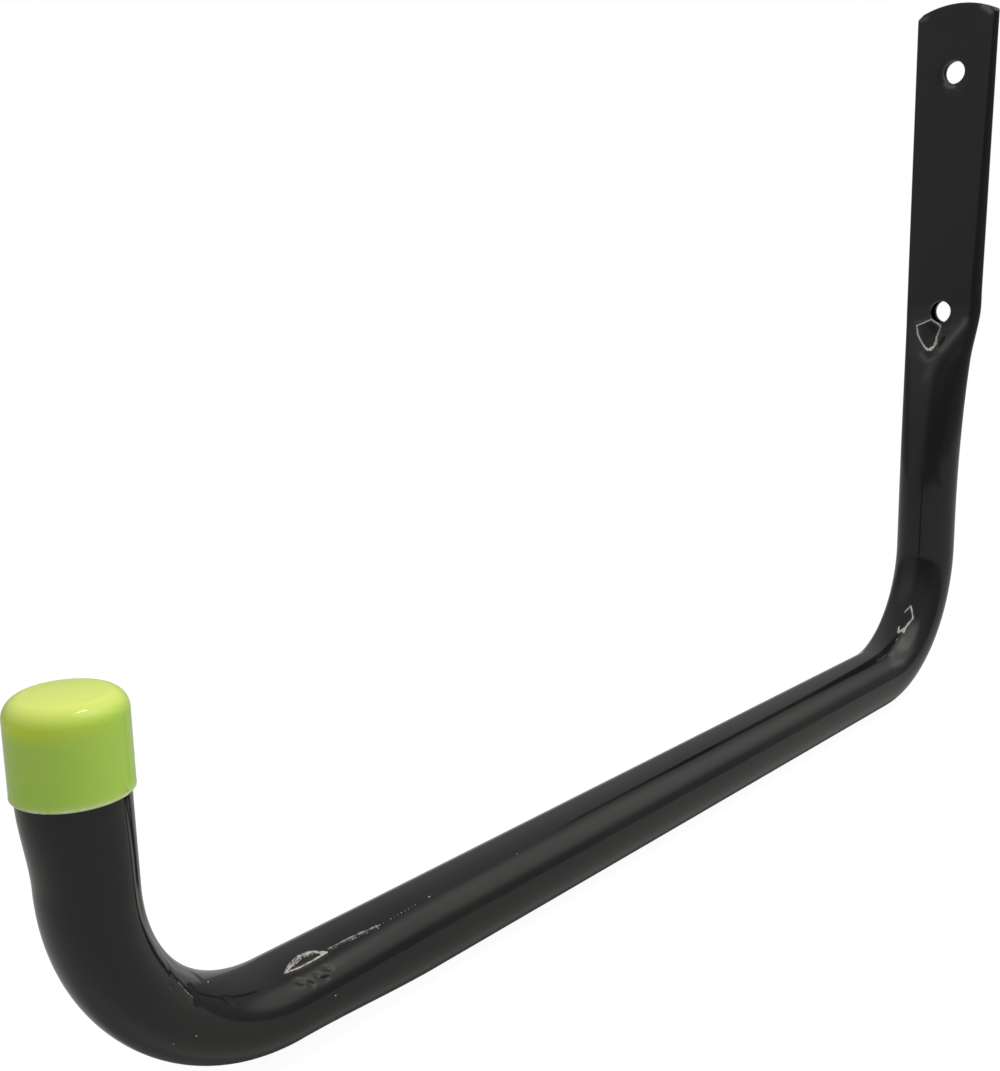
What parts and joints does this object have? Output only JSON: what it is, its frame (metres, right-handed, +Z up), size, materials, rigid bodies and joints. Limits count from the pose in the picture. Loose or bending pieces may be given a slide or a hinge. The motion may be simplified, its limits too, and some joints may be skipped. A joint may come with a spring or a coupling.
{
  "type": "garage utility hook",
  "caption": "Bent steel tube wall hook: flat pressed end with two screw holes, long arm, up-turned tip with a plastic cap.",
  "frame": {"origin": "on the wall plane, midway between the two screw holes", "axes": "the wall is the plane Y = 0 and +Y points into it; the arm reaches out along -Y and +Z is up"},
  "size_m": [0.0272, 0.3539, 0.2288],
  "materials": {
    "black_paint": "gloss black coating over steel tube",
    "lime_plastic": "soft satin lime-green vinyl"
  },
  "bodies": {
    "root": {"hook_tube": "black_paint", "end_cap": "lime_plastic"}
  },
  "joints": []
}
